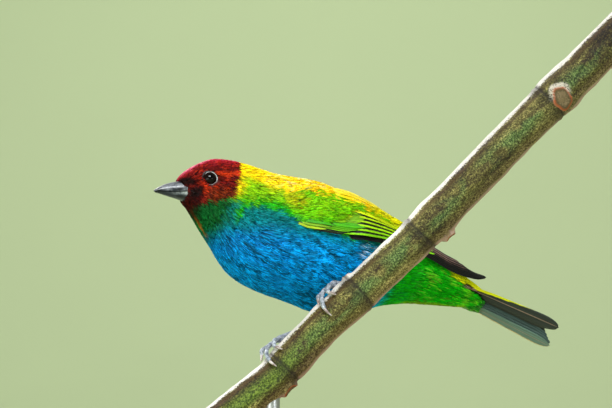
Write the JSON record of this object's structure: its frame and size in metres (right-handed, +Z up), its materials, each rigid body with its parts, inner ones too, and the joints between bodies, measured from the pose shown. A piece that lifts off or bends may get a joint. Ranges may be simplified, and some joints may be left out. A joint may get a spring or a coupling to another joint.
{
  "type": "bay-headed tanager on a cut branch",
  "caption": "Still, life-size model of a small songbird gripping a slanting cut branch, which a rod holds up from a flat oval base.",
  "frame": {"origin": "middle of the underside of the stand's base", "axes": "+Z up; +X to the right in the picture, toward the bird's tail; +Y away from the picture's viewer"},
  "size_m": [0.1492, 0.084, 0.1459],
  "materials": {
    "bay_feathers": "matte feathering",
    "golden_feathers": "matte feathering",
    "blue_feathers": "matte feathering",
    "green_feathers": "smooth feather vanes",
    "tail_feathers": "smooth feather vanes",
    "bill_horn": "satin horn",
    "claw_horn": "satin horn",
    "leg_skin": "scaly skin",
    "eye_gloss": "polished",
    "branch_bark": "weathered bark",
    "base_wood": "oiled",
    "rod_steel": "brushed"
  },
  "bodies": {
    "root": {"head": "bay_feathers", "neck": "golden_feathers", "torso": "blue_feathers", "bill_upper": "bill_horn", "bill_lower": "bill_horn", "eye_left": "eye_gloss", "eye_right": "eye_gloss", "wing_left": "green_feathers", "wing_right": "green_feathers", "tail": "tail_feathers", "thigh_left": "blue_feathers", "thigh_right": "blue_feathers", "tarsus_left": "leg_skin", "tarsus_right": "leg_skin", "foot_left": "leg_skin", "foot_right": "leg_skin", "claw_left_middle": "claw_horn", "claw_left_outer": "claw_horn", "claw_left_inner": "claw_horn", "claw_left_hind": "claw_horn", "claw_right_middle": "claw_horn", "claw_right_outer": "claw_horn", "claw_right_inner": "claw_horn", "claw_right_hind": "claw_horn", "perch": "branch_bark", "stand_base": "base_wood", "stand_rod": "rod_steel"}
  },
  "joints": []
}
